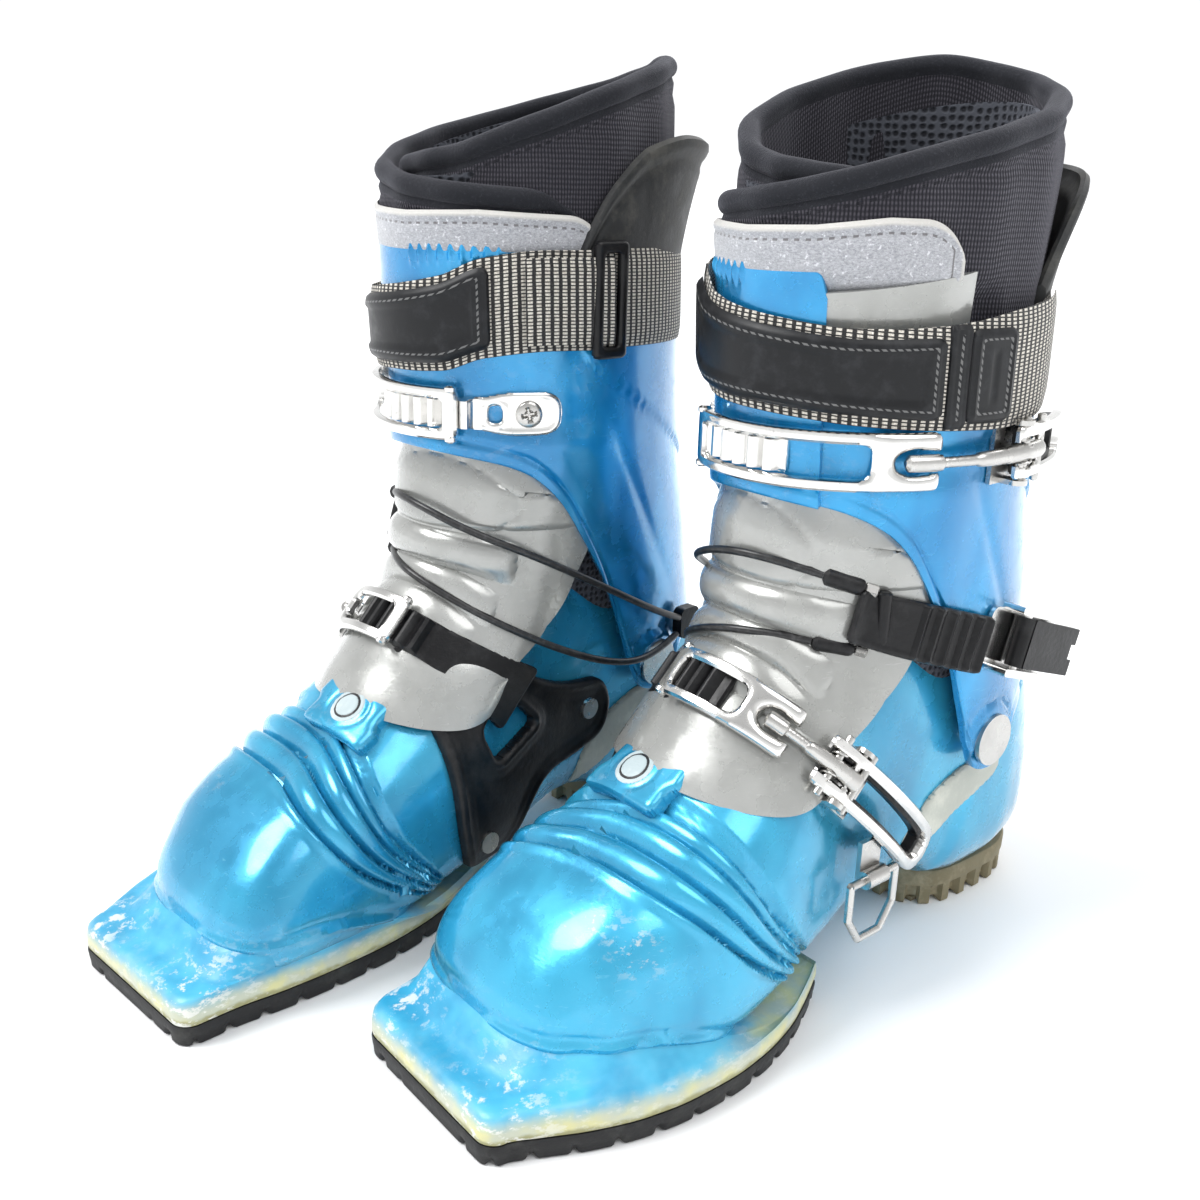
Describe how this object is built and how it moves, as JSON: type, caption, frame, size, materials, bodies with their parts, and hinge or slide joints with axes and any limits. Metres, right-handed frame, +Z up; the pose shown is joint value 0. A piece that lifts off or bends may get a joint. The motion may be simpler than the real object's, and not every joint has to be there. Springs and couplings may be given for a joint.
{
  "type": "telemark ski boots",
  "caption": "Pair of plastic telemark ski boots with duckbill soles, flexing bellows, hinged cuffs, liners and opening buckles.",
  "frame": {"origin": "centre of the pair's box, on the floor", "axes": "+Z up; the toes point toward -Y; the left boot is on the +X side"},
  "size_m": [0.2672, 0.3678, 0.3439],
  "materials": {
    "shell_blue": "glossy pearl",
    "cuff_blue": "glossy pearl",
    "grey_tongue": "satin pearl",
    "black_rubber": "matte",
    "tan_rubber": "matte",
    "liner": "ribbed knit",
    "webbing": "woven",
    "black_plastic": "satin",
    "steel": "polished"
  },
  "bodies": {
    "left_foot": {"lower_shell_left": "shell_blue", "bellows_left": "shell_blue", "heel_sole_left": "tan_rubber", "liner_foot_left": "liner", "tongue_left": "grey_tongue", "instep_strap_left": "black_plastic", "instep_base_left": "steel", "shell_rivets_left": "steel", "lock_bar_left": "steel"},
    "left_toe": {"toe_shell_left": "shell_blue", "toe_sole_left": "black_rubber"},
    "left_shaft": {"cuff_left": "cuff_blue", "spoiler_left": "black_rubber", "liner_shaft_left": "liner", "power_strap_left": "webbing", "strap_patch_left": "black_rubber", "cuff_ladder_left": "steel", "cuff_base_left": "steel", "cuff_screws_left": "steel", "ratchet_base_left": "steel", "ankle_strap_left": "black_plastic", "ankle_cables_left": "black_rubber", "cable_anchor_left": "black_plastic"},
    "left_cuff_lever": {"cuff_lever_left": "steel"},
    "left_cuff_bail": {"cuff_bail_left": "steel"},
    "left_instep_lever": {"instep_lever_left": "steel"},
    "left_instep_bail": {"instep_bail_left": "steel"},
    "left_ratchet_lever": {"ratchet_lever_left": "black_plastic"},
    "left_walk_lever": {"walk_lever_left": "black_plastic"},
    "left_gaiter_ring": {"gaiter_ring_left": "steel"},
    "right_foot": {"lower_shell_right": "shell_blue", "bellows_right": "shell_blue", "heel_sole_right": "tan_rubber", "liner_foot_right": "liner", "tongue_right": "grey_tongue", "instep_strap_right": "black_plastic", "instep_base_right": "steel", "shell_rivets_right": "steel", "lock_bar_right": "steel"},
    "right_toe": {"toe_shell_right": "shell_blue", "toe_sole_right": "black_rubber"},
    "right_shaft": {"cuff_right": "cuff_blue", "spoiler_right": "black_rubber", "liner_shaft_right": "liner", "power_strap_right": "webbing", "strap_patch_right": "black_rubber", "cuff_ladder_right": "steel", "cuff_base_right": "steel", "cuff_screws_right": "steel", "ratchet_base_right": "steel", "ankle_strap_right": "black_plastic", "ankle_cables_right": "black_rubber", "cable_anchor_right": "black_plastic"},
    "right_cuff_lever": {"cuff_lever_right": "steel"},
    "right_cuff_bail": {"cuff_bail_right": "steel"},
    "right_instep_lever": {"instep_lever_right": "steel"},
    "right_instep_bail": {"instep_bail_right": "steel"},
    "right_ratchet_lever": {"ratchet_lever_right": "black_plastic"},
    "right_walk_lever": {"walk_lever_right": "black_plastic"},
    "right_gaiter_ring": {"gaiter_ring_right": "steel"}
  },
  "joints": [
    {"name": "toe_flex_left", "type": "hinge", "parent": "left_foot", "child": "left_toe", "pos_m": [0.07118, 0.0249, 0.009], "axis": [-1, 0, 0], "range_deg": [0, 16], "stiffness_Nm_per_rad": 8, "deforming": ["bellows_left"]},
    {"name": "cuff_pivot_left", "type": "hinge", "parent": "left_foot", "child": "left_shaft", "pos_m": [0.07118, 0.1069, 0.09], "axis": [1, 0, 0], "range_deg": [-12, 7]},
    {"name": "cuff_lever_left", "type": "hinge", "parent": "left_shaft", "child": "left_cuff_lever", "pos_m": [0.12962, 0.08872, 0.2075], "axis": [0, 0, -1], "range_deg": [0, 120]},
    {"name": "cuff_bail_left", "type": "hinge", "parent": "left_cuff_lever", "child": "left_cuff_bail", "pos_m": [0.12854, 0.09804, 0.2075], "axis": [0, 0, 1], "range_deg": [0, 151]},
    {"name": "instep_lever_left", "type": "hinge", "parent": "left_foot", "child": "left_instep_lever", "pos_m": [0.1216, 0.02164, 0.09794], "axis": [0, -0.7071, -0.7071], "range_deg": [0, 110]},
    {"name": "instep_bail_left", "type": "hinge", "parent": "left_instep_lever", "child": "left_instep_bail", "pos_m": [0.12467, 0.02864, 0.09094], "axis": [0, 0.7071, 0.7071], "range_deg": [0, 138]},
    {"name": "ratchet_lever_left", "type": "hinge", "parent": "left_shaft", "child": "left_ratchet_lever", "pos_m": [0.12958, 0.1062, 0.13285], "axis": [0, -0.309, -0.9511], "range_deg": [0, 95]},
    {"name": "walk_lever_left", "type": "hinge", "parent": "left_shaft", "child": "left_walk_lever", "pos_m": [0.07118, 0.1599, 0.16], "axis": [-1, 0, 0], "range_deg": [0, 80]},
    {"name": "gaiter_ring_left", "type": "hinge", "parent": "left_foot", "child": "left_gaiter_ring", "pos_m": [0.12678, 0.0343, 0.057], "axis": [0, -1, 0], "range_deg": [0, 90]},
    {"name": "toe_flex_right", "type": "hinge", "parent": "right_foot", "child": "right_toe", "pos_m": [-0.05747, -0.03244, 0.009], "axis": [-0.9926, -0.1215, 0], "range_deg": [0, 16], "stiffness_Nm_per_rad": 8, "deforming": ["bellows_right"]},
    {"name": "cuff_pivot_right", "type": "hinge", "parent": "right_foot", "child": "right_shaft", "pos_m": [-0.06744, 0.04895, 0.09], "axis": [0.9926, 0.1215, 0], "range_deg": [-12, 7]},
    {"name": "cuff_lever_right", "type": "hinge", "parent": "right_shaft", "child": "right_cuff_lever", "pos_m": [-0.12324, 0.02379, 0.2075], "axis": [0, 0, 1], "range_deg": [0, 120]},
    {"name": "cuff_bail_right", "type": "hinge", "parent": "right_cuff_lever", "child": "right_cuff_bail", "pos_m": [-0.1233, 0.03318, 0.2075], "axis": [0, 0, -1], "range_deg": [0, 151]},
    {"name": "instep_lever_right", "type": "hinge", "parent": "right_foot", "child": "right_instep_lever", "pos_m": [-0.10713, -0.04181, 0.09794], "axis": [-0.0859, 0.7019, 0.7071], "range_deg": [0, 110]},
    {"name": "instep_bail_right", "type": "hinge", "parent": "right_instep_lever", "child": "right_instep_bail", "pos_m": [-0.11102, -0.03523, 0.09094], "axis": [0.0859, -0.7019, -0.7071], "range_deg": [0, 138]},
    {"name": "ratchet_lever_right", "type": "hinge", "parent": "right_shaft", "child": "right_ratchet_lever", "pos_m": [-0.12532, 0.04115, 0.13285], "axis": [-0.0376, 0.3067, 0.9511], "range_deg": [0, 95]},
    {"name": "walk_lever_right", "type": "hinge", "parent": "right_shaft", "child": "right_walk_lever", "pos_m": [-0.07388, 0.10156, 0.16], "axis": [-0.9926, -0.1215, 0], "range_deg": [0, 80]},
    {"name": "gaiter_ring_right", "type": "hinge", "parent": "right_foot", "child": "right_gaiter_ring", "pos_m": [-0.1138, -0.02987, 0.057], "axis": [-0.1215, 0.9926, 0], "range_deg": [0, 90]},
    {"name": "pair_spacing", "type": "slide", "parent": "left_foot", "child": "right_foot", "axis": [-1, 0, 0], "range_m": [0, 0.2]}
  ],
  "couplings": [
    {"joint": "cuff_bail_left", "follows": "cuff_lever_left", "ratio": 1.25},
    {"joint": "instep_bail_left", "follows": "instep_lever_left", "ratio": 1.25},
    {"joint": "cuff_bail_right", "follows": "cuff_lever_right", "ratio": 1.25},
    {"joint": "instep_bail_right", "follows": "instep_lever_right", "ratio": 1.25}
  ]
}
